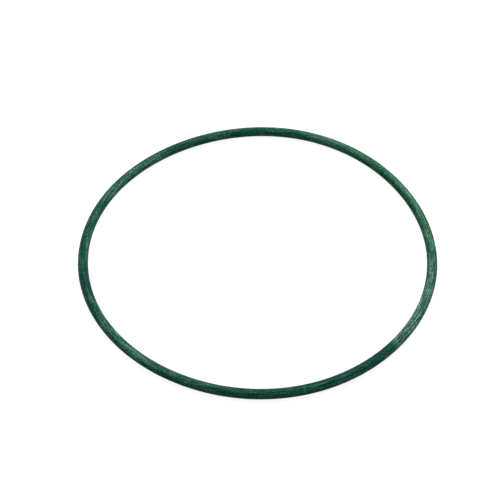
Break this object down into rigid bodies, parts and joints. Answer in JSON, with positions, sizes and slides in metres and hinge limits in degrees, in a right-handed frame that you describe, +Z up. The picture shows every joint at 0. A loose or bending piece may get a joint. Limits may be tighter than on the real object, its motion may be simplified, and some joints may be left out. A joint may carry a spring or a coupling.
{
  "type": "sealing ring",
  "caption": "Round rubber sealing ring with a circular section, squeezed in a groove to seal between two round parts.",
  "frame": {"origin": "centre of the ring, on its mid-plane, half a section above what it rests on", "axes": "+Z up, along the ring's axis; the ring lies flat in the XY plane, and which way +X points is free"},
  "size_m": [0.1277, 0.1277, 0.0036],
  "materials": {
    "green_rubber": "matt moulded rubber, dark green right through"
  },
  "bodies": {
    "root": {"sealing_ring": "green_rubber"}
  },
  "joints": []
}
